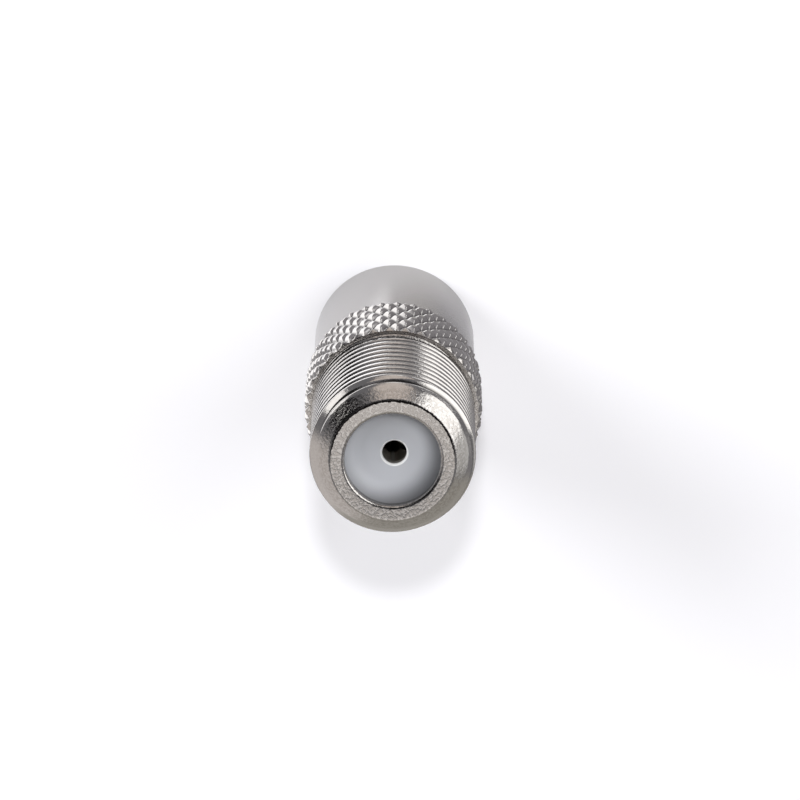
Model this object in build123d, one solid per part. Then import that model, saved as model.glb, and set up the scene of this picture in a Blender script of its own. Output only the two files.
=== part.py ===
from build123d import *
from math import ceil, cos, pi, radians, sin, tan
import os

# Adapter between a screw-on F plug and a push-on aerial socket. It stands on the rim of its
# plug barrel: Z is the common axis, Z = 0 the rim, and the threaded jack points up.

# Plug barrel, smooth outside and hollow round the pin
PLUG_D = 9.5
PLUG_LENGTH = 8.8
PLUG_BORE_D = 8.3
PLUG_CAVITY_DEPTH = 9.4
RIM_CHAMFER = 0.12
MOUTH_CHAMFER = 0.2

# Knurled collar
COLLAR_D = 10.3
COLLAR_LENGTH = 5.4
COLLAR_CHAMFER = 0.22
KNURL_TEETH = 33
KNURL_ANGLE = 31
KNURL_DEPTH = 0.3
KNURL_FLAT = 0.05

# Threaded jack barrel, plain at the crests of its 3/8 inch thread, which are cut a little under
# size. The nose is bevelled, and the crests taper where the thread starts.
JACK_D = 9.44
JACK_LENGTH = 9.15
NOSE_D = 7.2
NOSE_BEVEL = 0.73
NOSE_EASE = 0.1
TAPER_LENGTH = 1.3
TAPER_D = 8.66

# Rolled lip that holds the front insulator
LIP_BORE_D = 5.44
LIP_DEPTH = 0.6
LIP_ROUND = 0.2
LIP_SAG = 0.045

# Bore behind the lip, and the web that both insulators seat against
JACK_BORE_D = 6.6
WEB_THICKNESS = 1.2
WEB_BORE_D = 4.4

# Insulators
FIT_CLEARANCE = 0.02
DISH_DEPTH = 0.95
ENTRY_D = 1.4
ENTRY_LENGTH = 0.6
ENTRY_FLARE = 0.08
REAR_THICKNESS = 2.7

# Plug pin with the flange that both insulators trap
PIN_D = 2.36
PIN_INSET = 0.3
PIN_TIP_D = 1.1
PIN_TIP_LENGTH = 1.0
PIN_TIP_SAG = 0.06
PIN_SEAT_D = 2.7
FLANGE_D = 3.4
FLANGE_THICKNESS = 0.6
TAIL_D = 1.9
TAIL_LENGTH = 2.2
TAIL_HOLE_D = 1.0
TAIL_HOLE_DEPTH = 1.8

# Spring contact
CONTACT_D = 2.0
CONTACT_WAIST_D = 1.62
CONTACT_WALL = 0.4
CONTACT_MOUTH_GAP = 0.15
CONTACT_BASE = 0.8
MOUTH_LENGTH = 0.5
PINCH_LENGTH = 0.9
SLOT_WIDTH = 0.25
SLOT_COUNT = 4
SPRING_ROOM = 0.25

# Heights worked out from the sizes above
COLLAR_Z = PLUG_LENGTH
SHOULDER_Z = COLLAR_Z + COLLAR_LENGTH
FACE_Z = SHOULDER_Z + JACK_LENGTH
REAR_FACE_Z = PLUG_CAVITY_DEPTH
WEB_Z = REAR_FACE_Z + REAR_THICKNESS
SEAT_Z = WEB_Z + WEB_THICKNESS
LIP_Z = FACE_Z - LIP_DEPTH
DISH_Z = LIP_Z - DISH_DEPTH
CAVITY_Z = DISH_Z - ENTRY_LENGTH
MOUTH_Z = CAVITY_Z - CONTACT_MOUTH_GAP
FLANGE_Z = SEAT_Z - FLANGE_THICKNESS
TAIL_Z = SEAT_Z + TAIL_LENGTH


def section(*corners):
    """Half section through the axis, from its corners as (radius, height)."""
    return make_face(Plane.XZ * Polyline(*corners, close=True))


def turned(*corners):
    """Solid of revolution about the Z axis."""
    return revolve(section(*corners), Axis.Z)


def rod(diameter, bottom, top):
    """Plain cylinder on the axis."""
    return Pos(0, 0, bottom) * Cylinder(
        diameter / 2, top - bottom, align=(Align.CENTER, Align.CENTER, Align.MIN)
    )


def at(radius, turn, height):
    """Point on a circle about the axis, with its turn in radians."""
    return (radius * cos(turn), radius * sin(turn), height)


def pyramid(turn, height, tooth, row_height):
    """Faces of one tooth of the knurl: a four-sided pyramid with its tip cut flat."""
    radial = Vector(cos(turn), sin(turn), 0)
    crest = COLLAR_D / 2
    root = crest - KNURL_DEPTH
    sharp = crest + KNURL_FLAT
    tip = radial * sharp + Vector(0, 0, height)
    corners = [
        Vector(*at(root, turn + tooth / 2, height)),
        Vector(*at(root, turn, height + row_height)),
        Vector(*at(root, turn - tooth / 2, height)),
        Vector(*at(root, turn, height - row_height)),
    ]
    flat = [tip + (corner - tip) * ((sharp - crest) / (sharp - corner.dot(radial))) for corner in corners]
    sides = [(corners[i - 1], corners[i], flat[i], flat[i - 1]) for i in range(4)]
    return [Face(Wire.make_polygon(points)) for points in (*sides, flat)]


def diamond_form():
    """Column whose surface is the knurl, a little longer than the collar at both ends.

    Two crossing families of V grooves leave rows of pyramids, each row turned by half a tooth
    against the one below, so that the grooves run from row to row.
    """
    root = COLLAR_D / 2 - KNURL_DEPTH
    tooth = 2 * pi / KNURL_TEETH
    row_height = pi * COLLAR_D / KNURL_TEETH / tan(radians(KNURL_ANGLE)) / 2
    rows = ceil(COLLAR_LENGTH / row_height) + 1
    middle = COLLAR_Z + COLLAR_LENGTH / 2
    faces = []
    for row in range(rows):
        height = middle + (row - (rows - 1) / 2) * row_height
        for step in range(KNURL_TEETH):
            faces += pyramid((step + row / 2) * tooth, height, tooth, row_height)
    for row, way in ((0, -1), (rows - 1, 1)):
        height = middle + (row - (rows - 1) / 2) * row_height
        rim = [at(root, (step + row / 2) * tooth, height + way * row_height) for step in range(KNURL_TEETH)]
        notch = [at(root, (step + row / 2 - 0.5) * tooth, height) for step in range(KNURL_TEETH)]
        faces.append(Face(Wire.make_polygon(rim)))
        faces += [
            Face(Wire.make_polygon((rim[step - 1], rim[step], notch[step]))) for step in range(KNURL_TEETH)
        ]
    return Solid(Shell(faces))


def knurled_collar():
    """Collar blank with both rims bevelled, then pressed to the diamond form."""
    bevelled = COLLAR_D / 2 - COLLAR_CHAMFER
    over_all = COLLAR_D / 2 + KNURL_FLAT
    bevel = over_all - bevelled
    blank = turned(
        (0, COLLAR_Z),
        (bevelled, COLLAR_Z),
        (over_all, COLLAR_Z + bevel),
        (over_all, SHOULDER_Z - bevel),
        (bevelled, SHOULDER_Z),
        (0, SHOULDER_Z),
    )
    return blank & diamond_form()


def plug_barrel():
    """Outside of the smooth barrel, with its rim bevelled."""
    radius = PLUG_D / 2
    return turned(
        (0, 0),
        (radius - RIM_CHAMFER, 0),
        (radius, RIM_CHAMFER),
        (radius, COLLAR_Z),
        (0, COLLAR_Z),
    )


def jack_barrel():
    """Outside of the jack barrel: crest cylinder, tapered start, bevel and eased flat nose."""
    barrel = turned(
        (0, SHOULDER_Z),
        (JACK_D / 2, SHOULDER_Z),
        (JACK_D / 2, FACE_Z - NOSE_BEVEL - TAPER_LENGTH),
        (TAPER_D / 2, FACE_Z - NOSE_BEVEL),
        (NOSE_D / 2, FACE_Z),
        (0, FACE_Z),
    )
    nose = barrel.edges().filter_by(GeomType.CIRCLE).sort_by(Axis.Z)[-1]
    return chamfer(nose, NOSE_EASE)


def body_bore():
    """Everything bored out of the body, from the plug's mouth to the rounded edge of the lip."""
    lip_edge = (LIP_BORE_D / 2, FACE_Z - LIP_ROUND)
    face_edge = (LIP_BORE_D / 2 + LIP_ROUND, FACE_Z)
    walls = Polyline(
        face_edge,
        (0, FACE_Z),
        (0, 0),
        (PLUG_BORE_D / 2 + MOUTH_CHAMFER, 0),
        (PLUG_BORE_D / 2, MOUTH_CHAMFER),
        (PLUG_BORE_D / 2, WEB_Z),
        (WEB_BORE_D / 2, WEB_Z),
        (WEB_BORE_D / 2, SEAT_Z),
        (JACK_BORE_D / 2, SEAT_Z),
        (JACK_BORE_D / 2, LIP_Z),
        (LIP_BORE_D / 2, LIP_Z),
        lip_edge,
    )
    edge = SagittaArc(lip_edge, face_edge, -LIP_SAG)
    return revolve(make_face(Plane.XZ * (walls + edge)), Axis.Z)


def body():
    """Threaded jack barrel, knurled collar and plug barrel, turned from one bar."""
    turned_bar = plug_barrel() + knurled_collar() + jack_barrel()
    return turned_bar - body_bore()


def front_insulator():
    """Moulded plug with a dished face, the wire's entry hole and room for the contact."""
    outer = JACK_BORE_D / 2 - FIT_CLEARANCE
    room = CONTACT_D / 2 + SPRING_ROOM
    return turned(
        (outer, SEAT_Z),
        (outer, LIP_Z),
        (LIP_BORE_D / 2, LIP_Z),
        (ENTRY_D / 2 + ENTRY_FLARE, DISH_Z),
        (ENTRY_D / 2, DISH_Z - ENTRY_FLARE),
        (ENTRY_D / 2, CAVITY_Z),
        (room, CAVITY_Z),
        (room, SEAT_Z),
    )


def rear_insulator():
    """Moulded disc against the web, with a hub in the web's hole and a pocket for the flange."""
    hub = WEB_BORE_D / 2 - FIT_CLEARANCE
    outer = PLUG_BORE_D / 2 - FIT_CLEARANCE
    return turned(
        (PIN_SEAT_D / 2, REAR_FACE_Z),
        (outer, REAR_FACE_Z),
        (outer, WEB_Z),
        (hub, WEB_Z),
        (hub, SEAT_Z),
        (FLANGE_D / 2, SEAT_Z),
        (FLANGE_D / 2, FLANGE_Z),
        (PIN_SEAT_D / 2, FLANGE_Z),
    )


def plug_pin():
    """Turned pin: bullet tip, shank, thicker seat in the insulator, flange and drilled tail."""
    tip = (PIN_TIP_D / 2, PIN_INSET)
    tip_base = (PIN_D / 2, PIN_INSET + PIN_TIP_LENGTH)
    walls = Polyline(
        tip_base,
        (PIN_D / 2, REAR_FACE_Z),
        (PIN_SEAT_D / 2, REAR_FACE_Z),
        (PIN_SEAT_D / 2, FLANGE_Z),
        (FLANGE_D / 2, FLANGE_Z),
        (FLANGE_D / 2, SEAT_Z),
        (TAIL_D / 2, SEAT_Z),
        (TAIL_D / 2, TAIL_Z),
        (0, TAIL_Z),
        (0, PIN_INSET),
        tip,
    )
    nose = SagittaArc(tip, tip_base, -PIN_TIP_SAG)
    pin = revolve(make_face(Plane.XZ * (walls + nose)), Axis.Z)
    return pin - rod(TAIL_HOLE_D, TAIL_Z - TAIL_HOLE_DEPTH, TAIL_Z)


def spring_contact():
    """Socket on a stem in the pin's tail, slotted into tines that pinch the centre wire."""
    waist_top = MOUTH_Z - MOUTH_LENGTH
    waist_bottom = waist_top - PINCH_LENGTH
    tines_bottom = TAIL_Z + CONTACT_BASE
    outer = CONTACT_D / 2
    waist = CONTACT_WAIST_D / 2
    socket = turned(
        (0, TAIL_Z - TAIL_HOLE_DEPTH),
        (TAIL_HOLE_D / 2, TAIL_Z - TAIL_HOLE_DEPTH),
        (TAIL_HOLE_D / 2, TAIL_Z),
        (outer, TAIL_Z),
        (outer, tines_bottom),
        (waist, waist_bottom),
        (waist, waist_top),
        (outer, MOUTH_Z),
        (outer - CONTACT_WALL / 2, MOUTH_Z),
        (waist - CONTACT_WALL, waist_top),
        (waist - CONTACT_WALL, waist_bottom),
        (outer - CONTACT_WALL, tines_bottom),
        (0, tines_bottom),
    )
    slot = Pos(0, 0, tines_bottom) * Box(
        SLOT_WIDTH, CONTACT_D, MOUTH_Z - tines_bottom, align=(Align.CENTER, Align.MIN, Align.MIN)
    )
    for turn in range(SLOT_COUNT):
        socket -= Rot(0, 0, 360 * turn / SLOT_COUNT) * slot
    return socket


os.makedirs("parts", exist_ok=True)
for piece in (body, front_insulator, spring_contact, plug_pin, rear_insulator):
    export_step(piece(), f"parts/{piece.__name__}.step")
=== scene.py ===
import math

import bmesh
import bpy
from mathutils import Matrix, Vector


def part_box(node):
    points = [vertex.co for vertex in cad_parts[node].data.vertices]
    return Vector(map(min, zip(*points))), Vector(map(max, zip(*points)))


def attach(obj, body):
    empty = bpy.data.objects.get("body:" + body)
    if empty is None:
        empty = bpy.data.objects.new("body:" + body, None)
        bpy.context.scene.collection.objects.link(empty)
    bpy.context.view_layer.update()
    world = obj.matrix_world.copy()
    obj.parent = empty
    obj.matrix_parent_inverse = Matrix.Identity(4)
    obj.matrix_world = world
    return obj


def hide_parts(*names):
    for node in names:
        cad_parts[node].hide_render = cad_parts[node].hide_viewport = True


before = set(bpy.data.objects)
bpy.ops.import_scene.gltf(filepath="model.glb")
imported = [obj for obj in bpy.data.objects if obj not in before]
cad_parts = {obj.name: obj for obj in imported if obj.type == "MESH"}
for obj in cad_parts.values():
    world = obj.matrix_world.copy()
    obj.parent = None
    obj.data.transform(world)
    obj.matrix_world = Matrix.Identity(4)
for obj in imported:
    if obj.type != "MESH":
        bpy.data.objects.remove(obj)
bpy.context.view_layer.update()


# Body: one brass bar, turned to the thread's crests, the collar and the smooth plug barrel, then
# threaded, knurled, bored and plated with bright nickel. Once the front insulator is in, the jack's
# lip is rolled in over it, which leaves the lip's face rough and its edges ragged.
MM = 0.001
FACE_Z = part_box("body")[1].z
INSULATOR_LOW, INSULATOR_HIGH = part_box("front_insulator")
FIT_CLEARANCE = 0.02 * MM
NEAR = 0.001 * MM
SEAM_GAP = 0.002 * MM

COLLAR_R = 5.15 * MM
COLLAR_LOW_Z = 8.8 * MM
COLLAR_HIGH_Z = 14.2 * MM
COLLAR_BEVEL = 0.22 * MM
KNURL_TEETH = 33
KNURL_DEPTH = 0.25 * MM
KNURL_FLAT = 0.18 * MM
CELLS_PER_HALF_TOOTH = 6
KNURL_ROWS = 40

THREAD_R = 4.72 * MM
THREAD_DEPTH = 0.43 * MM
THREAD_PITCH = 25.4 / 32 * MM
CREST_WIDTH = 0.34 * MM
ROOT_ROUND = 0.1 * MM
FIRST_GROOVE = 0.94 * MM
TURNS_TO_NOSE = 4.25
NOSE_R = 3.6 * MM
NOSE_ROUND = 0.28 * MM
THREAD_TOP = FACE_Z - (THREAD_R - THREAD_DEPTH - NOSE_R)
BEVEL_SLOPE = 0.72
BEVEL_START = 0.2
ROWS_PER_PITCH = 16
SPARE_TURNS = 3.0
COLUMNS = 192

BARREL_R = 4.75 * MM
RIM_ROUND = 0.12 * MM
PLUG_BORE_R = 4.15 * MM
MOUTH_CHAMFER = 0.2 * MM
WEB_BORE_R = 2.2 * MM
WEB_Z = 12.1 * MM
LIP_BORE_R = 2.72 * MM
LIP_ROUND = 0.2 * MM
LIP_SINK = 0.06 * MM
SMALL_ROUND = 0.04 * MM

NICKEL = "AEABA8"
STAINED_NICKEL = "A09C98"
# Colour of the painted shade: the line round the nose, the thread's roots and the knurl's grooves.
SHADE_BLACK = "1C1A18"
NICKEL_ROUGHNESS = 0.12
ROLLED_DEPTH = 0.8 * MM
PEEL_SIZE = 0.5 * MM
PEEL_DEPTH = 0.01 * MM
PEEL_STRENGTH = 0.15
DENT_SIZE = 0.16 * MM
DENT_DEPTH = 0.005 * MM
DENT_LOW, DENT_HIGH = 0.38, 0.62
THREAD_SCUFF = 0.3
# Painted shade: a ragged black line round the nose's top edge, strongest on the +Y side.
SHADE_LINE_R = 3.52 * MM
SHADE_LINE_WANDER = 0.15 * MM
SHADE_LINE_EDGE, SHADE_LINE_CORE = 0.06 * MM, 0.03 * MM
SHADE_LINE_FROM_Y, SHADE_LINE_FULL_Y = -0.4 * MM, 0.9 * MM
BEVEL_CLEAR, BEVEL_PAST = 0.1 * MM, 0.2 * MM
# Painted shade in the thread's roots and the knurl's grooves: how far down it starts, is full, and how
# dark.
ROOT_FROM, ROOT_FULL, ROOT_SHADE = 0.35, 0.75, 0.92
GROOVE_FROM, GROOVE_FULL, GROOVE_SHADE = 0.5, 0.95, 0.8


def add_node(tree, kind, sockets=None, **settings):
    """Adds a node with its settings, and gives its sockets their values or links."""
    node = tree.nodes.new(kind)
    for name, value in settings.items():
        setattr(node, name, value)
    for socket, value in (sockets or {}).items():
        if isinstance(value, bpy.types.Node):
            value = value.outputs[0]
        if isinstance(value, bpy.types.NodeSocket):
            tree.links.new(value, node.inputs[socket])
        else:
            node.inputs[socket].default_value = value
    return node


def new_tree(name, sizes):
    """Starts a Geometry Nodes tree with one named number input for each size."""
    tree = bpy.data.node_groups.new(name, "GeometryNodeTree")
    for size in sizes:
        tree.interface.new_socket(name=size, in_out="INPUT", socket_type="NodeSocketFloat")
    tree.interface.new_socket(name="Finish", in_out="INPUT", socket_type="NodeSocketMaterial")
    tree.interface.new_socket(name="Surface", in_out="OUTPUT", socket_type="NodeSocketGeometry")
    return tree


def wrapped(tree, sizes, surface, turn, height, radius):
    """Ends a tree: bends its flat surface round the axis, closes the seam and sets the finish."""
    cosine = add_node(tree, "ShaderNodeMath", {0: turn}, operation="COSINE")
    sine = add_node(tree, "ShaderNodeMath", {0: turn}, operation="SINE")
    x = add_node(tree, "ShaderNodeMath", {0: radius, 1: cosine}, operation="MULTIPLY")
    y = add_node(tree, "ShaderNodeMath", {0: radius, 1: sine}, operation="MULTIPLY")
    place = add_node(tree, "ShaderNodeCombineXYZ", {"X": x, "Y": y, "Z": height})
    bent = add_node(tree, "GeometryNodeSetPosition", {"Geometry": surface, "Position": place})
    closed = add_node(tree, "GeometryNodeMergeByDistance", {"Geometry": bent, "Distance": SEAM_GAP})
    smooth = add_node(tree, "GeometryNodeSetShadeSmooth", {"Geometry": closed})
    real = add_node(tree, "GeometryNodeRealizeInstances", {"Geometry": smooth})
    finished = add_node(
        tree, "GeometryNodeSetMaterial", {"Geometry": real, "Material": sizes.outputs["Finish"]}
    )
    add_node(tree, "NodeGroupOutput", {"Surface": finished})
    return tree


def grown_mesh(tree, sizes):
    """Runs a tree with the given sizes and returns its result as a plain mesh."""
    carrier = bpy.data.objects.new(tree.name, bpy.data.meshes.new(tree.name))
    bpy.context.scene.collection.objects.link(carrier)
    modifier = carrier.modifiers.new(tree.name, "NODES")
    modifier.node_group = tree
    for item in tree.interface.items_tree:
        if item.in_out == "INPUT":
            modifier[item.identifier] = sizes[item.name]
    evaluated = carrier.evaluated_get(bpy.context.evaluated_depsgraph_get())
    mesh = bpy.data.meshes.new_from_object(evaluated)
    bpy.data.objects.remove(carrier)
    return mesh


def thread_tree():
    """Right-hand thread: rows that climb one pitch a turn, cut to the crests and the nose's bevel.

    The profile drops from a flat crest down 30 degree flanks to a rounded root. The bevel starts
    from the root at the high end and widens downwards by its slope. Rows past either end are held
    at that end and merged there.
    """
    names = (
        "Crest radius", "Crest width", "Depth", "Pitch", "Crest height",
        "Low end", "High end", "Bevel slope",
    )
    tree = new_tree("jack_thread", names)
    sizes = add_node(tree, "NodeGroupInput")
    crest_r, crest_width, depth, pitch, crest_z, low, high, slope = sizes.outputs[:8]
    span = add_node(tree, "ShaderNodeMath", {0: high, 1: low}, operation="SUBTRACT")
    turns = add_node(tree, "ShaderNodeMath", {0: span, 1: pitch}, operation="DIVIDE")
    whole = add_node(tree, "ShaderNodeMath", {0: turns}, operation="CEIL")
    covered = add_node(tree, "ShaderNodeMath", {0: whole, 1: SPARE_TURNS}, operation="ADD")
    rows = add_node(
        tree, "ShaderNodeMath", {0: covered, 1: ROWS_PER_PITCH, 2: 1.0}, operation="MULTIPLY_ADD"
    )
    length = add_node(tree, "ShaderNodeMath", {0: covered, 1: pitch}, operation="MULTIPLY")
    grid = add_node(
        tree, "GeometryNodeMeshGrid",
        {"Size X": math.tau, "Size Y": length, "Vertices X": COLUMNS + 1, "Vertices Y": rows},
    )
    flat = add_node(tree, "ShaderNodeSeparateXYZ", {0: add_node(tree, "GeometryNodeInputPosition")})
    turn, row_z = flat.outputs["X"], flat.outputs["Y"]
    share = add_node(tree, "ShaderNodeMath", {0: turn, 1: math.tau}, operation="DIVIDE")
    climb = add_node(tree, "ShaderNodeMath", {0: share, 1: pitch, 2: row_z}, operation="MULTIPLY_ADD")
    free_z = add_node(tree, "ShaderNodeMath", {0: climb, 1: crest_z}, operation="ADD")
    above = add_node(tree, "ShaderNodeMath", {0: free_z, 1: low}, operation="MAXIMUM")
    height = add_node(tree, "ShaderNodeMath", {0: above, 1: high}, operation="MINIMUM")
    from_crest = add_node(tree, "ShaderNodeMath", {0: height, 1: crest_z}, operation="SUBTRACT")
    pitches = add_node(tree, "ShaderNodeMath", {0: from_crest, 1: pitch}, operation="DIVIDE")
    phase = add_node(tree, "ShaderNodeMath", {0: pitches, 1: share}, operation="SUBTRACT")
    off_crest = add_node(tree, "ShaderNodeMath", {0: phase, 1: 0.5}, operation="PINGPONG")
    off_middle = add_node(tree, "ShaderNodeMath", {0: off_crest, 1: pitch}, operation="MULTIPLY")
    half_flat = add_node(tree, "ShaderNodeMath", {0: crest_width, 1: 0.5}, operation="MULTIPLY")
    flank = add_node(tree, "ShaderNodeMath", {0: off_middle, 1: half_flat}, operation="SUBTRACT")
    fall = add_node(tree, "ShaderNodeMath", {0: flank, 1: math.sqrt(3)}, operation="MULTIPLY")
    eased = add_node(tree, "ShaderNodeMath", {0: fall, 1: 0.0, 2: SMALL_ROUND}, operation="SMOOTH_MAX")
    drop = add_node(tree, "ShaderNodeMath", {0: eased, 1: depth, 2: ROOT_ROUND}, operation="SMOOTH_MIN")
    cut_r = add_node(tree, "ShaderNodeMath", {0: crest_r, 1: drop}, operation="SUBTRACT")
    root_r = add_node(tree, "ShaderNodeMath", {0: crest_r, 1: depth}, operation="SUBTRACT")
    below_top = add_node(tree, "ShaderNodeMath", {0: high, 1: height}, operation="SUBTRACT")
    bevel_r = add_node(
        tree, "ShaderNodeMath", {0: below_top, 1: slope, 2: root_r}, operation="MULTIPLY_ADD"
    )
    radius = add_node(tree, "ShaderNodeMath", {0: cut_r, 1: bevel_r}, operation="MINIMUM")
    return wrapped(tree, sizes, grid, turn, height, radius)


def knurl_tree():
    """Diamond knurl: two crossing families of V grooves, which leave rows of blunt pyramids.

    The flat surface is made of small tiles of four triangles, so that every groove and every
    edge of a pyramid runs along edges of the mesh.
    """
    names = ("Crest radius", "Depth", "Flat", "Bevel", "Low end", "High end", "Teeth")
    tree = new_tree("collar_knurl", names)
    sizes = add_node(tree, "NodeGroupInput")
    crest_r, depth, flat_cut, bevel, low, high, teeth = sizes.outputs[:7]
    columns = add_node(
        tree, "ShaderNodeMath", {0: teeth, 1: 2 * CELLS_PER_HALF_TOOTH}, operation="MULTIPLY"
    )
    cell_turn = add_node(tree, "ShaderNodeMath", {0: math.tau, 1: columns}, operation="DIVIDE")
    span = add_node(tree, "ShaderNodeMath", {0: high, 1: low}, operation="SUBTRACT")
    cell_rise = add_node(tree, "ShaderNodeMath", {0: span, 1: KNURL_ROWS}, operation="DIVIDE")
    width = add_node(tree, "ShaderNodeMath", {0: math.tau, 1: cell_turn}, operation="SUBTRACT")
    length = add_node(tree, "ShaderNodeMath", {0: span, 1: cell_rise}, operation="SUBTRACT")
    centres = add_node(
        tree, "GeometryNodeMeshGrid",
        {"Size X": width, "Size Y": length, "Vertices X": columns, "Vertices Y": KNURL_ROWS},
    )
    fan = add_node(
        tree, "GeometryNodeMeshCircle",
        {"Vertices": 4, "Radius": math.sqrt(0.5)}, fill_type="TRIANGLE_FAN",
    )
    tile = add_node(tree, "GeometryNodeTransform", {"Geometry": fan, "Rotation": (0, 0, math.pi / 4)})
    tile_size = add_node(tree, "ShaderNodeCombineXYZ", {"X": cell_turn, "Y": cell_rise, "Z": 1.0})
    tiles = add_node(
        tree, "GeometryNodeInstanceOnPoints", {"Points": centres, "Instance": tile, "Scale": tile_size}
    )
    laid = add_node(tree, "GeometryNodeRealizeInstances", {"Geometry": tiles})
    flat = add_node(tree, "ShaderNodeSeparateXYZ", {0: add_node(tree, "GeometryNodeInputPosition")})
    turn, row_z = flat.outputs["X"], flat.outputs["Y"]
    ends = add_node(tree, "ShaderNodeMath", {0: high, 1: low}, operation="ADD")
    middle = add_node(tree, "ShaderNodeMath", {0: ends, 1: 0.5}, operation="MULTIPLY")
    height = add_node(tree, "ShaderNodeMath", {0: row_z, 1: middle}, operation="ADD")
    across = add_node(tree, "ShaderNodeMath", {0: turn, 1: cell_turn}, operation="DIVIDE")
    along = add_node(tree, "ShaderNodeMath", {0: row_z, 1: cell_rise}, operation="DIVIDE")
    lifted = add_node(
        tree, "ShaderNodeMath", {0: along, 1: CELLS_PER_HALF_TOOTH / 2}, operation="SUBTRACT"
    )
    rising = add_node(tree, "ShaderNodeMath", {0: across, 1: lifted}, operation="ADD")
    falling = add_node(tree, "ShaderNodeMath", {0: across, 1: lifted}, operation="SUBTRACT")
    one_way = add_node(
        tree, "ShaderNodeMath", {0: rising, 1: CELLS_PER_HALF_TOOTH}, operation="PINGPONG"
    )
    other_way = add_node(
        tree, "ShaderNodeMath", {0: falling, 1: CELLS_PER_HALF_TOOTH}, operation="PINGPONG"
    )
    off_tip = add_node(tree, "ShaderNodeMath", {0: one_way, 1: other_way}, operation="MAXIMUM")
    steep = add_node(tree, "ShaderNodeMath", {0: depth, 1: flat_cut}, operation="ADD")
    per_cell = add_node(tree, "ShaderNodeMath", {0: steep, 1: CELLS_PER_HALF_TOOTH}, operation="DIVIDE")
    fall = add_node(tree, "ShaderNodeMath", {0: off_tip, 1: per_cell}, operation="MULTIPLY")
    sharp_r = add_node(tree, "ShaderNodeMath", {0: crest_r, 1: flat_cut}, operation="ADD")
    cut_r = add_node(tree, "ShaderNodeMath", {0: sharp_r, 1: fall}, operation="SUBTRACT")
    blunt_r = add_node(tree, "ShaderNodeMath", {0: cut_r, 1: crest_r}, operation="MINIMUM")
    end_r = add_node(tree, "ShaderNodeMath", {0: crest_r, 1: bevel}, operation="SUBTRACT")
    from_low = add_node(tree, "ShaderNodeMath", {0: height, 1: low}, operation="SUBTRACT")
    from_high = add_node(tree, "ShaderNodeMath", {0: high, 1: height}, operation="SUBTRACT")
    from_end = add_node(tree, "ShaderNodeMath", {0: from_low, 1: from_high}, operation="MINIMUM")
    bevel_r = add_node(tree, "ShaderNodeMath", {0: end_r, 1: from_end}, operation="ADD")
    radius = add_node(tree, "ShaderNodeMath", {0: blunt_r, 1: bevel_r}, operation="MINIMUM")
    return wrapped(tree, sizes, laid, turn, height, radius)


def rounded(corners, steps=6, support=0.03 * MM):
    """Points of an outline given as (radius, height, rounding), each with whether it is sharp.

    A rounded corner becomes an arc, with a support point just before and after it, so that the
    shading of the flats beside it stays flat.
    """
    points = []
    for index, (radius, height, rounding) in enumerate(corners):
        corner = Vector((radius, height))
        if rounding == 0 or index in (0, len(corners) - 1):
            points.append((corner, True))
            continue
        before = (Vector(corners[index - 1][:2]) - corner).normalized()
        after = (Vector(corners[index + 1][:2]) - corner).normalized()
        half = before.angle(after) / 2
        reach = rounding / math.tan(half)
        centre = corner + (before + after).normalized() * (rounding / math.sin(half))
        start = (corner + before * reach - centre).normalized()
        end = (corner + after * reach - centre).normalized()
        points.append((corner + before * (reach + support), False))
        for step in range(steps + 1):
            points.append((centre + start.slerp(end, step / steps) * rounding, False))
        points.append((corner + after * (reach + support), False))
    return points


def add_ring(work, radius, height, columns):
    """One ring of vertices round the axis, in order of their turn."""
    turns = [math.tau * column / columns for column in range(columns)]
    return [work.verts.new((radius * math.cos(turn), radius * math.sin(turn), height)) for turn in turns]


def turn_of(vertex):
    """Turn of a vertex round the axis, from just below +X."""
    return (math.atan2(vertex.co.y, vertex.co.x) + 0.001) % math.tau


def zip_rings(work, lower, upper, sharp=False):
    """Joins two rings, which may differ in their number of vertices, with a strip of triangles."""
    rings = [sorted(ring, key=turn_of) for ring in (lower, upper)]
    counts = [len(ring) for ring in rings]
    done = [0, 0]
    while done != counts:
        side = 0 if done[0] / counts[0] <= done[1] / counts[1] else 1
        if done[side] == counts[side]:
            side = 1 - side
        start = rings[side][done[side]]
        done[side] += 1
        end = rings[side][done[side] % counts[side]]
        opposite = rings[1 - side][done[1 - side] % counts[1 - side]]
        work.faces.new((start, end, opposite)).smooth = True
    if sharp:
        mark_sharp(work, rings)


def mark_sharp(work, rings):
    """Keeps the edges along the given rings crisp."""
    for ring in rings:
        for index, vertex in enumerate(ring):
            edge = work.edges.get((ring[index - 1], vertex))
            if edge:
                edge.smooth = False


def add_turned(work, points, columns):
    """Rings of a turned outline, joined by quads. Returns the first and the last ring."""
    rings = [add_ring(work, point.x, point.y, columns) for point, _ in points]
    for one, other in zip(rings, rings[1:]):
        for column in range(columns):
            after = (column + 1) % columns
            work.faces.new((one[column], one[after], other[after], other[column])).smooth = True
    mark_sharp(work, [ring for ring, (_, sharp) in zip(rings, points) if sharp])
    return rings[0], rings[-1]


def open_ring(work, height, known=()):
    """Vertices on the open edge at one height, without those of a ring that is known already."""
    at_height = [v for v in work.verts if v.is_boundary and abs(v.co.z - height) < NEAR]
    return [v for v in at_height if v not in known]


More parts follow.
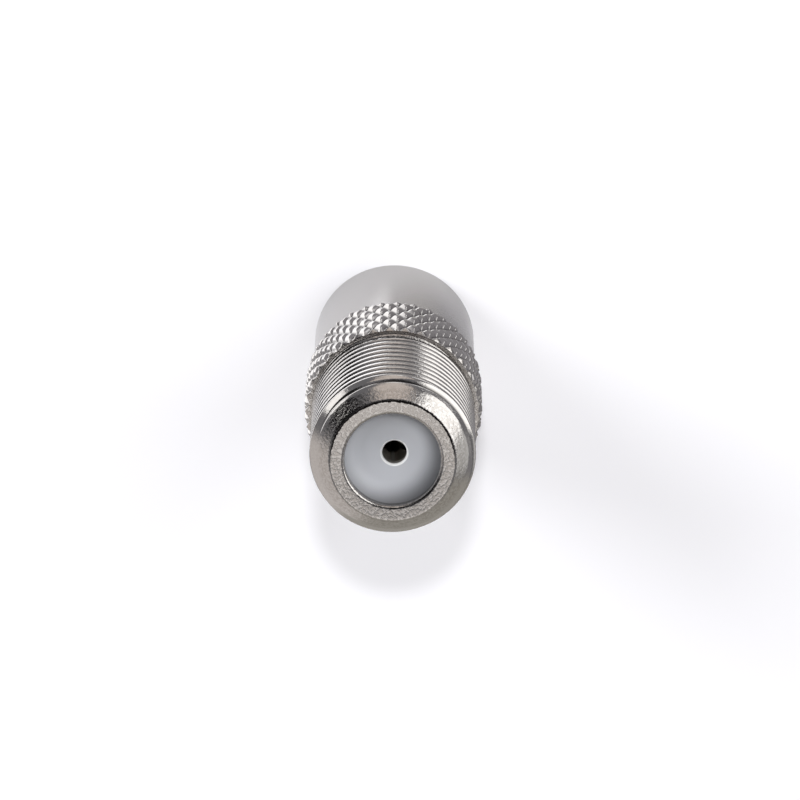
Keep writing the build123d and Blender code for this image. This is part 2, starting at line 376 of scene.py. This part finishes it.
def body_mesh(finish):
    """Closed mesh of the whole body, from the grown thread and knurl and the turned rest.

    The thread is counted from a crest in the barrel's middle, TURNS_TO_NOSE turns below the last
    crest on the side that the photograph shows.
    """
    top_crest = FACE_Z - FIRST_GROOVE - THREAD_PITCH / 2
    thread = grown_mesh(thread_tree(), {
        "Crest radius": THREAD_R,
        "Crest width": CREST_WIDTH,
        "Depth": THREAD_DEPTH,
        "Pitch": THREAD_PITCH,
        "Crest height": top_crest - THREAD_PITCH * TURNS_TO_NOSE,
        "Low end": COLLAR_HIGH_Z,
        "High end": THREAD_TOP,
        "Bevel slope": BEVEL_SLOPE,
        "Finish": finish,
    })
    knurl = grown_mesh(knurl_tree(), {
        "Crest radius": COLLAR_R,
        "Depth": KNURL_DEPTH,
        "Flat": KNURL_FLAT,
        "Bevel": COLLAR_BEVEL,
        "Low end": COLLAR_LOW_Z,
        "High end": COLLAR_HIGH_Z,
        "Teeth": float(KNURL_TEETH),
        "Finish": finish,
    })
    work = bmesh.new()
    work.from_mesh(thread)
    thread_low, thread_high = open_ring(work, COLLAR_HIGH_Z), open_ring(work, THREAD_TOP)
    inside = INSULATOR_HIGH.x + FIT_CLEARANCE
    bevel = FACE_Z - THREAD_TOP
    outline = [
        (NOSE_R + bevel * (1 - BEVEL_START), THREAD_TOP + bevel * BEVEL_START, 0),
        (NOSE_R, FACE_Z, NOSE_ROUND),
        (LIP_BORE_R, FACE_Z - LIP_SINK, LIP_ROUND),
        (LIP_BORE_R, INSULATOR_HIGH.z, 0),
        (inside, INSULATOR_HIGH.z, 0),
        (inside, INSULATOR_LOW.z, 0),
        (WEB_BORE_R, INSULATOR_LOW.z, 0),
        (WEB_BORE_R, WEB_Z, 0),
        (PLUG_BORE_R, WEB_Z, 0),
        (PLUG_BORE_R, MOUTH_CHAMFER, SMALL_ROUND),
        (PLUG_BORE_R + MOUTH_CHAMFER, 0, SMALL_ROUND),
        (BARREL_R, 0, RIM_ROUND),
        (BARREL_R, COLLAR_LOW_Z, 0),
    ]
    bevel_ring, barrel_ring = add_turned(work, rounded(outline), COLUMNS)
    zip_rings(work, thread_high, bevel_ring)
    work.from_mesh(knurl)
    zip_rings(work, barrel_ring, open_ring(work, COLLAR_LOW_Z, known=barrel_ring), sharp=True)
    zip_rings(work, open_ring(work, COLLAR_HIGH_Z, known=thread_low), thread_low, sharp=True)
    bmesh.ops.recalc_face_normals(work, faces=work.faces)
    mesh = bpy.data.meshes.new("plated_body")
    work.to_mesh(mesh)
    work.free()
    mesh.materials.append(finish)
    return mesh


def linear(hex_colour):
    """Linear colour from an sRGB hex value."""
    channels = [int(hex_colour[start:start + 2], 16) / 255 for start in (0, 2, 4)]
    return (*(c / 12.92 if c <= 0.04045 else ((c + 0.055) / 1.055) ** 2.4 for c in channels), 1.0)


def nickel_plate():
    """Bright nickel on turned brass: a mirror with a slight orange peel, pitted where it was rolled.

    The nose was rolled over the insulator after turning, so its face is mottled and its edges are
    dented. A ragged black line round its top edge, strongest on the +Y side, is painted shade. The
    shoulder of the collar has the marks of the threading die, and nuts have scuffed the thread a
    little. Deep in the thread and in the knurl's grooves the colour is painted darker, towards
    black, as painted shade, which draws them as dark lines.
    """
    material = bpy.data.materials.new("bright_nickel_plate_on_turned_brass")
    material.use_nodes = True
    tree = material.node_tree
    tree.nodes.clear()
    place = add_node(tree, "ShaderNodeTexCoord").outputs["Object"]
    split = add_node(tree, "ShaderNodeSeparateXYZ", {0: place})
    height = split.outputs["Z"]
    nose = add_node(tree, "ShaderNodeMapRange", {
        "Value": height, "From Min": FACE_Z - ROLLED_DEPTH, "From Max": FACE_Z - ROLLED_DEPTH / 2,
    }, interpolation_type="SMOOTHSTEP")
    to_shoulder = add_node(tree, "ShaderNodeMath", {0: height, 1: COLLAR_HIGH_Z}, operation="SUBTRACT")
    beside = add_node(tree, "ShaderNodeMath", {0: to_shoulder}, operation="ABSOLUTE")
    shoulder = add_node(tree, "ShaderNodeMapRange", {
        "Value": beside, "From Min": COLLAR_BEVEL, "From Max": COLLAR_BEVEL / 2,
    }, interpolation_type="SMOOTHSTEP")
    past_collar = add_node(tree, "ShaderNodeMath", {
        0: height, 1: COLLAR_HIGH_Z + COLLAR_BEVEL,
    }, operation="GREATER_THAN")
    scuffed = add_node(tree, "ShaderNodeMath", {0: past_collar, 1: THREAD_SCUFF}, operation="MULTIPLY")
    ends = add_node(tree, "ShaderNodeMath", {0: nose, 1: shoulder}, operation="MAXIMUM")
    rolled = add_node(tree, "ShaderNodeMath", {0: ends, 1: scuffed}, operation="MAXIMUM")
    peel = add_node(tree, "ShaderNodeTexNoise", {
        "Vector": place, "Scale": 1 / PEEL_SIZE, "Detail": 2.0,
    })
    dents = add_node(tree, "ShaderNodeTexNoise", {
        "Vector": place, "Scale": 1 / DENT_SIZE, "Detail": 3.0, "Roughness": 0.6,
    })
    sharp_dents = add_node(tree, "ShaderNodeMapRange", {
        "Value": dents, "From Min": DENT_LOW, "From Max": DENT_HIGH,
    }, interpolation_type="SMOOTHSTEP")
    dented = add_node(tree, "ShaderNodeMath", {0: sharp_dents, 1: rolled}, operation="MULTIPLY")
    fine = add_node(tree, "ShaderNodeBump", {
        "Strength": PEEL_STRENGTH, "Distance": PEEL_DEPTH, "Height": peel,
    })
    rough = add_node(tree, "ShaderNodeBump", {
        "Strength": 1.0, "Distance": DENT_DEPTH, "Height": dented, "Normal": fine,
    })
    stain = add_node(tree, "ShaderNodeMix", {
        0: dented, 6: linear(NICKEL), 7: linear(STAINED_NICKEL),
    }, data_type="RGBA")
    flat = add_node(tree, "ShaderNodeVectorMath", {0: place, 1: (1, 1, 0)}, operation="MULTIPLY")
    reach = add_node(tree, "ShaderNodeVectorMath", {0: flat}, operation="LENGTH")
    # Painted shade: a ragged black line round the nose's top edge, fading out towards -Y.
    wander = add_node(tree, "ShaderNodeMath", {
        0: dents, 1: SHADE_LINE_WANDER, 2: reach.outputs["Value"],
    }, operation="MULTIPLY_ADD")
    past_shade_line = add_node(tree, "ShaderNodeMath", {
        0: wander, 1: SHADE_LINE_R + SHADE_LINE_WANDER / 2,
    }, operation="SUBTRACT")
    off_shade_line = add_node(tree, "ShaderNodeMath", {0: past_shade_line}, operation="ABSOLUTE")
    shade_line = add_node(tree, "ShaderNodeMapRange", {
        "Value": off_shade_line, "From Min": SHADE_LINE_EDGE, "From Max": SHADE_LINE_CORE,
    }, interpolation_type="SMOOTHSTEP")
    shade_line_arc = add_node(tree, "ShaderNodeMapRange", {
        "Value": split.outputs["Y"], "From Min": SHADE_LINE_FROM_Y, "From Max": SHADE_LINE_FULL_Y,
    }, interpolation_type="SMOOTHSTEP")
    painted_line = add_node(tree, "ShaderNodeMath", {0: shade_line, 1: shade_line_arc}, operation="MULTIPLY")
    on_nose = add_node(tree, "ShaderNodeMath", {0: painted_line, 1: nose}, operation="MULTIPLY")
    under_ring = add_node(tree, "ShaderNodeMath", {0: height, 1: THREAD_TOP}, operation="LESS_THAN")
    thread = add_node(tree, "ShaderNodeMath", {0: past_collar, 1: under_ring}, operation="MULTIPLY")
    outward = add_node(tree, "ShaderNodeMath", {0: reach.outputs["Value"], 1: height}, operation="ADD")
    under_bevel = add_node(tree, "ShaderNodeMapRange", {
        "Value": outward,
        "From Min": NOSE_R + FACE_Z - BEVEL_CLEAR, "From Max": NOSE_R + FACE_Z - BEVEL_PAST,
    }, interpolation_type="SMOOTHSTEP")
    behind_nose = add_node(tree, "ShaderNodeMath", {0: thread, 1: under_bevel}, operation="MULTIPLY")
    # Painted shade: the thread's roots behind the nose and the knurl's grooves are darkened towards
    # black.
    deep = add_node(tree, "ShaderNodeMapRange", {
        "Value": reach.outputs["Value"],
        "From Min": THREAD_R - ROOT_FROM * THREAD_DEPTH,
        "From Max": THREAD_R - ROOT_FULL * THREAD_DEPTH,
        "To Max": ROOT_SHADE,
    }, interpolation_type="SMOOTHSTEP")
    in_root = add_node(tree, "ShaderNodeMath", {0: deep, 1: behind_nose}, operation="MULTIPLY")
    to_middle = add_node(tree, "ShaderNodeMath", {
        0: height, 1: (COLLAR_LOW_Z + COLLAR_HIGH_Z) / 2,
    }, operation="SUBTRACT")
    along_collar = add_node(tree, "ShaderNodeMath", {0: to_middle}, operation="ABSOLUTE")
    on_collar = add_node(tree, "ShaderNodeMath", {
        0: along_collar, 1: (COLLAR_HIGH_Z - COLLAR_LOW_Z) / 2 - COLLAR_BEVEL,
    }, operation="LESS_THAN")
    outside = add_node(tree, "ShaderNodeMath", {
        0: reach.outputs["Value"], 1: BARREL_R,
    }, operation="GREATER_THAN")
    knurled = add_node(tree, "ShaderNodeMath", {0: on_collar, 1: outside}, operation="MULTIPLY")
    low = add_node(tree, "ShaderNodeMapRange", {
        "Value": reach.outputs["Value"],
        "From Min": COLLAR_R - GROOVE_FROM * KNURL_DEPTH,
        "From Max": COLLAR_R - GROOVE_FULL * KNURL_DEPTH,
        "To Max": GROOVE_SHADE,
    }, interpolation_type="SMOOTHSTEP")
    in_groove = add_node(tree, "ShaderNodeMath", {0: low, 1: knurled}, operation="MULTIPLY")
    grooved = add_node(tree, "ShaderNodeMath", {0: in_root, 1: in_groove}, operation="MAXIMUM")
    dark = add_node(tree, "ShaderNodeMath", {0: on_nose, 1: grooved}, operation="MAXIMUM")
    colour = add_node(tree, "ShaderNodeMix", {
        0: dark, 6: stain.outputs[2], 7: linear(SHADE_BLACK),
    }, data_type="RGBA")
    shader = add_node(tree, "ShaderNodeBsdfPrincipled", {
        "Base Color": colour.outputs[2], "Metallic": 1.0, "Roughness": NICKEL_ROUGHNESS, "Normal": rough,
    })
    add_node(tree, "ShaderNodeOutputMaterial", {"Surface": shader})
    return material


nickel = nickel_plate()
body = bpy.data.objects.new("plated_body", body_mesh(nickel))
bpy.context.scene.collection.objects.link(body)
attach(body, "root")
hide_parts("body")


# Front insulator: a white polyethylene moulding, pressed in from the front and held by the lip. Its
# face is a shallow dish that leads the centre wire into the hole, whose edge is flared a little.
HOLE_R = 0.7 * MM
HOLE_FLARE = 0.08 * MM
HOLE_ROUND = 0.03 * MM
HOLE_OFF_CENTRE = 0.1 * MM
HOLE_LENGTH = 0.6 * MM
DISH_DEPTH = 0.95 * MM
DISH_Z = INSULATOR_HIGH.z - DISH_DEPTH
BOWL_R = 2.0 * MM
BOWL_RISE = 0.28 * MM
BOWL_ROUND = 1.3 * MM
ROOM_R = 1.25 * MM
INSULATOR_COLUMNS = 96

WHITE = "ACAEB3"
PAINTED_HIGHLIGHT_WHITE = "DCDDDD"
# Painted shade: the colour of the plastic deep inside the hole.
HOLE_SHADE_WHITE = "6E6B66"
# Painted shade towards the bore: its colour, its offset to one side, and where it starts and is full.
EDGE_SHADE_GREY = "505154"
GRAIN_SIZE = 0.2 * MM
GRAIN_DEPTH = 0.005 * MM
GRAIN_STRENGTH = 0.1
MOULDED_ROUGHNESS = 0.42
GLOW_DEPTH = 0.25 * MM
GLOW_WEIGHT = 0.15
HIGHLIGHT_WIDTH = 1.5 * HOLE_FLARE
HOLE_SHADE_FROM, HOLE_SHADE_FULL = 1.5 * HOLE_FLARE, 3.5 * HOLE_FLARE
EDGE_SHADE_SHIFT = (0.35 * MM, -0.2 * MM, 0)
EDGE_SHADE_FROM, EDGE_SHADE_FULL = 1.85 * MM, 3.15 * MM


def insulator_mesh(finish):
    """Closed turned mesh, whose hole sits slightly off the axis."""
    outer = INSULATOR_HIGH.x
    cavity_z = DISH_Z - HOLE_LENGTH
    outline = [
        (HOLE_R, cavity_z, 0),
        (HOLE_R, DISH_Z - HOLE_FLARE, HOLE_ROUND),
        (HOLE_R + HOLE_FLARE, DISH_Z, SMALL_ROUND),
        (BOWL_R, DISH_Z + BOWL_RISE, BOWL_ROUND),
        (LIP_BORE_R, INSULATOR_HIGH.z, 0),
        (outer, INSULATOR_HIGH.z, 0),
        (outer, INSULATOR_LOW.z, 0),
        (ROOM_R, INSULATOR_LOW.z, 0),
        (ROOM_R, cavity_z, 0),
    ]
    work = bmesh.new()
    first, last = add_turned(work, rounded(outline), INSULATOR_COLUMNS)
    zip_rings(work, last, first, sharp=True)
    bmesh.ops.recalc_face_normals(work, faces=work.faces)
    for vertex in work.verts:
        reach = math.hypot(vertex.co.x, vertex.co.y)
        if vertex.co.z > cavity_z - NEAR and reach < LIP_BORE_R:
            vertex.co.x += HOLE_OFF_CENTRE * min(1.0, (LIP_BORE_R - reach) / (LIP_BORE_R - ROOM_R))
    mesh = bpy.data.meshes.new("dished_insulator")
    work.to_mesh(mesh)
    work.free()
    mesh.materials.append(finish)
    return mesh


def white_polyethylene():
    """Natural white polyethylene, injection moulded: waxy, faintly translucent, satin.

    It has a painted highlight in a pale ring round the hole, and painted shade deep inside the
    hole and towards the bore, darker on one side.
    """
    material = bpy.data.materials.new("moulded_white_polyethylene")
    material.use_nodes = True
    tree = material.node_tree
    tree.nodes.clear()
    place = add_node(tree, "ShaderNodeTexCoord").outputs["Object"]
    grain = add_node(tree, "ShaderNodeTexNoise", {
        "Vector": place, "Scale": 1 / GRAIN_SIZE, "Detail": 3.0,
    })
    bump = add_node(tree, "ShaderNodeBump", {
        "Strength": GRAIN_STRENGTH, "Distance": GRAIN_DEPTH, "Height": grain,
    })
    centred = add_node(tree, "ShaderNodeVectorMath", {
        0: place, 1: (-HOLE_OFF_CENTRE, 0, 0),
    }, operation="ADD")
    flat = add_node(tree, "ShaderNodeVectorMath", {0: centred, 1: (1, 1, 0)}, operation="MULTIPLY")
    reach = add_node(tree, "ShaderNodeVectorMath", {0: flat}, operation="LENGTH")
    # Painted highlight: a pale ring round the hole's rim.
    edge = add_node(tree, "ShaderNodeMapRange", {
        "Value": reach.outputs["Value"],
        "From Min": HOLE_R + HIGHLIGHT_WIDTH, "From Max": HOLE_R + HOLE_FLARE,
    }, interpolation_type="SMOOTHSTEP")
    highlighted = add_node(tree, "ShaderNodeMix", {
        0: edge, 6: linear(WHITE), 7: linear(PAINTED_HIGHLIGHT_WHITE),
    }, data_type="RGBA")
    height = add_node(tree, "ShaderNodeSeparateXYZ", {0: place}).outputs["Z"]
    # Painted shade: the plastic darkens with depth inside the hole.
    deep = add_node(tree, "ShaderNodeMapRange", {
        "Value": height, "From Min": DISH_Z - HOLE_SHADE_FROM, "From Max": DISH_Z - HOLE_SHADE_FULL,
    }, interpolation_type="SMOOTHSTEP")
    shaded_hollow = add_node(tree, "ShaderNodeMix", {
        0: deep, 6: highlighted.outputs[2], 7: linear(HOLE_SHADE_WHITE),
    }, data_type="RGBA")
    # Painted shade: greyer towards the bore, more so on the side that the offset points away from.
    aside = add_node(tree, "ShaderNodeVectorMath", {0: place, 1: EDGE_SHADE_SHIFT}, operation="ADD")
    level = add_node(tree, "ShaderNodeVectorMath", {0: aside, 1: (1, 1, 0)}, operation="MULTIPLY")
    from_middle = add_node(tree, "ShaderNodeVectorMath", {0: level}, operation="LENGTH")
    edge_shade = add_node(tree, "ShaderNodeMapRange", {
        "Value": from_middle.outputs["Value"], "From Min": EDGE_SHADE_FROM, "From Max": EDGE_SHADE_FULL,
    }, interpolation_type="SMOOTHSTEP")
    colour = add_node(tree, "ShaderNodeMix", {
        0: edge_shade, 6: shaded_hollow.outputs[2], 7: linear(EDGE_SHADE_GREY),
    }, data_type="RGBA")
    shader = add_node(tree, "ShaderNodeBsdfPrincipled", {
        "Base Color": colour.outputs[2], "Roughness": MOULDED_ROUGHNESS, "Normal": bump,
        "Subsurface Weight": GLOW_WEIGHT, "Subsurface Radius": (0.5, 0.45, 0.4),
        "Subsurface Scale": GLOW_DEPTH,
    })
    add_node(tree, "ShaderNodeOutputMaterial", {"Surface": shader})
    return material


polyethylene = white_polyethylene()
insulator = bpy.data.objects.new("dished_insulator", insulator_mesh(polyethylene))
bpy.context.scene.collection.objects.link(insulator)
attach(insulator, "root")
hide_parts("front_insulator")


# Pin, contact and rear insulator: plated brass, a dull tinned spring and a second white moulding.
# They keep their own solids, and only the contact's mouth and, from behind, the pin are seen.
TIN = "8C8780"
PALE_TIN = "A8A29A"
TIN_ROUGHNESS = 0.45
BLOTCH_SIZE = 0.3 * MM


def dull_tin():
    """Tin on phosphor bronze, as dipped: grey and matt, so a deep mouth of it looks dark."""
    material = bpy.data.materials.new("dull_tin_on_phosphor_bronze")
    material.use_nodes = True
    tree = material.node_tree
    tree.nodes.clear()
    place = add_node(tree, "ShaderNodeTexCoord").outputs["Object"]
    blotch = add_node(tree, "ShaderNodeTexNoise", {
        "Vector": place, "Scale": 1 / BLOTCH_SIZE, "Detail": 3.0,
    })
    colour = add_node(tree, "ShaderNodeMix", {
        0: blotch, 6: linear(TIN), 7: linear(PALE_TIN),
    }, data_type="RGBA")
    shader = add_node(tree, "ShaderNodeBsdfPrincipled", {
        "Base Color": colour.outputs[2], "Metallic": 1.0, "Roughness": TIN_ROUGHNESS,
    })
    add_node(tree, "ShaderNodeOutputMaterial", {"Surface": shader})
    return material


for name, finish in (
    ("plug_pin", nickel), ("spring_contact", dull_tin()), ("rear_insulator", polyethylene),
):
    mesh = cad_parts[name].data
    mesh.materials.clear()
    mesh.materials.append(finish)


# Studio: a white board under the plug's rim, lit by a small lamp above it and a soft one to its
# left. What the metal mirrors is a softbox to the right, a warm panel overhead, white cards below
# the lens, at both sides and behind, a dark table, and black flags round the lens and to the left.
FLOOR_SIZE = 0.4
BOARD_WHITE = "F0F0F4"
GLOW_TO_LENS = 0.065
BOARD_MIDDLE = (-2.8 * MM, 0, 0)
BOARD_NEAR = 5.6 * MM
BOARD_FAR = 10 * MM

floor_work = bmesh.new()
bmesh.ops.create_grid(floor_work, x_segments=1, y_segments=1, size=FLOOR_SIZE / 2)
floor_mesh = bpy.data.meshes.new("floor")
floor_work.to_mesh(floor_mesh)
floor_work.free()
floor = bpy.data.objects.new("floor", floor_mesh)
bpy.context.scene.collection.objects.link(floor)


def floor_board():
    """Matt painted board, white without a gloss: the camera sees it a little brighter than it is lit.

    The metal sees only the part close to the plug, and beyond it the cards and flags.
    """
    material = bpy.data.materials.new("matte_white_board")
    material.use_nodes = True
    tree = material.node_tree
    tree.nodes.clear()
    path = add_node(tree, "ShaderNodeLightPath")
    glow = add_node(tree, "ShaderNodeMath", {
        0: path.outputs["Is Camera Ray"], 1: GLOW_TO_LENS,
    }, operation="MULTIPLY")
    board = add_node(tree, "ShaderNodeBsdfDiffuse", {"Color": linear(BOARD_WHITE)})
    light = add_node(tree, "ShaderNodeEmission", {"Color": (1, 1, 1, 1), "Strength": glow})
    near = add_node(tree, "ShaderNodeAddShader", {0: board, 1: light})
    place = add_node(tree, "ShaderNodeTexCoord").outputs["Object"]
    aside = add_node(tree, "ShaderNodeVectorMath", {0: place, 1: BOARD_MIDDLE}, operation="SUBTRACT")
    reach = add_node(tree, "ShaderNodeVectorMath", {0: aside}, operation="LENGTH")
    far = add_node(tree, "ShaderNodeMapRange", {
        "Value": reach.outputs["Value"], "From Min": BOARD_NEAR, "From Max": BOARD_FAR,
    }, interpolation_type="SMOOTHSTEP")
    passed = add_node(tree, "ShaderNodeMath", {
        0: far, 1: path.outputs["Is Glossy Ray"],
    }, operation="MULTIPLY")
    beyond = add_node(tree, "ShaderNodeBsdfTransparent")
    both = add_node(tree, "ShaderNodeMixShader", {0: passed, 1: near, 2: beyond})
    add_node(tree, "ShaderNodeOutputMaterial", {"Surface": both})
    return material


floor_mesh.materials.append(floor_board())

# Each panel has a name, the direction it stands in, the degrees from its middle to where it starts
# to fade and to where it ends, and its brightness. A later one stands in front of an earlier one.
BLACK = (0.02, 0.02, 0.02)
ROOM_GREY = (0.28, 0.28, 0.3)
PANELS = (
    ("dark_table", (0, 0, -1), 66, 84, (0.38, 0.37, 0.39)),
    ("grey_table", (-0.02, 0.3, -0.95), 7, 24, (0.52, 0.5, 0.49)),
    ("back_grey", (0.1, 0.82, -0.56), 22, 36, (0.46, 0.45, 0.48)),
    ("left_sweep", (-0.52, 0.22, -0.82), 24, 32, (2.3, 2.3, 2.35)),
    ("low_front", (0, -0.41, 0.91), 4, 22, (1.35, 1.31, 1.29)),
    ("grey_low", (0, -0.97, -0.1), 50, 62, (0.56, 0.54, 0.5)),
    ("left_card", (-0.8, -0.6, -0.08), 28, 42, (0.98, 0.93, 0.91)),
    ("right_card", (0.95, -0.22, 0.1), 14, 24, (0.95, 0.95, 0.95)),
    ("overhead", (0, 0.97, 0.22), 15, 24, (1.1, 1.0, 0.94)),
    ("top_back", (0.04, 0.96, -0.27), 7, 12, (1.6, 1.6, 1.6)),
    ("right_back", (0.5, 0.8, -0.32), 10, 16, (1.9, 1.9, 1.95)),
    ("lens_flag", (0, 0.42, 0.9), 18, 24, BLACK),
    ("right_flag", (0.5, 0.1, 0.86), 10, 16, BLACK),
    ("low_left_flag", (-0.5, 0.1, 0.86), 12, 18, BLACK),
    ("left_strip", (-0.84, 0.52, -0.16), 10, 15, (2.2, 2.2, 2.2)),
    ("left_flag", (-0.76, 0.42, 0.5), 24, 30, BLACK),
    ("softbox", (0.80, 0.42, 0.42), 26, 32, (2.6, 2.6, 2.6)),
)

world = bpy.data.worlds.new("studio")
bpy.context.scene.world = world
world.use_nodes = True
sky = world.node_tree
sky.nodes.clear()
direction = add_node(sky, "ShaderNodeTexCoord").outputs["Generated"]
colour = (*ROOM_GREY, 1)
for name, axis, inner, outer, level in PANELS:
    toward = add_node(sky, "ShaderNodeVectorMath", {
        0: direction, 1: Vector(axis).normalized(),
    }, operation="DOT_PRODUCT")
    edge = add_node(sky, "ShaderNodeMapRange", {
        "Value": toward.outputs["Value"],
        "From Min": math.cos(math.radians(outer)), "From Max": math.cos(math.radians(inner)),
    }, interpolation_type="SMOOTHSTEP", name=name)
    seen = add_node(sky, "ShaderNodeMix", {0: edge, 6: colour, 7: (*level, 1)}, data_type="RGBA")
    colour = seen.outputs[2]
lit = add_node(sky, "ShaderNodeBackground", {"Color": colour, "Strength": 1.0})
plain = add_node(sky, "ShaderNodeBackground", {"Color": (1, 1, 1, 1), "Strength": 1.0})
path = add_node(sky, "ShaderNodeLightPath")
both = add_node(sky, "ShaderNodeMixShader", {0: path.outputs["Is Camera Ray"], 1: lit, 2: plain})
add_node(sky, "ShaderNodeOutputWorld", {"Surface": both})

# Each lamp has a name, the direction it stands in, its width in metres and its power in watts.
LAMPS = (
    ("overhead_lamp", (0.0, 0.44, 0.9), 0.035, 0.85),
    ("left_lamp", (-0.66, 0.42, 0.62), 0.24, 1.3),
)
LAMP_REACH = 0.5

for name, toward, size, energy in LAMPS:
    lamp_data = bpy.data.lights.new(name, "AREA")
    lamp_data.shape = "DISK"
    lamp_data.size = size
    lamp_data.energy = energy
    lamp = bpy.data.objects.new(name, lamp_data)
    place = Vector(toward).normalized() * LAMP_REACH
    lamp.matrix_world = Matrix.Translation(place) @ place.to_track_quat("Z", "Y").to_matrix().to_4x4()
    lamp.visible_glossy = False
    bpy.context.scene.collection.objects.link(lamp)


# Camera: far off with a long lens, 18 degrees above the connector's axis, which keeps the jack's
# face almost round and shows the collar and barrel behind it as the photograph does.
IMAGE_PIXELS = 800
SENSOR_MM = 36.0
FOCAL_PIXELS = 6200
CAMERA_REACH = 350 * MM
CAMERA_LIFT = math.radians(18)
CAMERA_SIDE = 1.65 * MM
PIXELS_PER_MM = FOCAL_PIXELS / (CAMERA_REACH / MM)
FACE_LEFT_PIXELS = 7.5
FACE_LOW_PIXELS = 61

face_centre = Vector((0, 0, FACE_Z))
lens_at = face_centre + Vector((
    CAMERA_SIDE, CAMERA_REACH * math.sin(CAMERA_LIFT), CAMERA_REACH * math.cos(CAMERA_LIFT)
))
view_back = (lens_at - face_centre).normalized()
view_right = Vector((0, 1, 0)).cross(view_back).normalized()
view_up = view_back.cross(view_right)
aim = face_centre + (view_right * FACE_LEFT_PIXELS + view_up * FACE_LOW_PIXELS) / PIXELS_PER_MM * MM
back = (lens_at - aim).normalized()
right = Vector((0, 1, 0)).cross(back).normalized()
up = back.cross(right)

camera_data = bpy.data.cameras.new("camera")
camera_data.sensor_width = SENSOR_MM
camera_data.lens = FOCAL_PIXELS / IMAGE_PIXELS * SENSOR_MM
camera_data.clip_start = 0.01
camera = bpy.data.objects.new("camera", camera_data)
bpy.context.scene.collection.objects.link(camera)
camera.matrix_world = Matrix.Translation(lens_at) @ Matrix((right, up, back)).transposed().to_4x4()
bpy.context.scene.camera = camera
bpy.context.scene.view_settings.view_transform = "Standard"
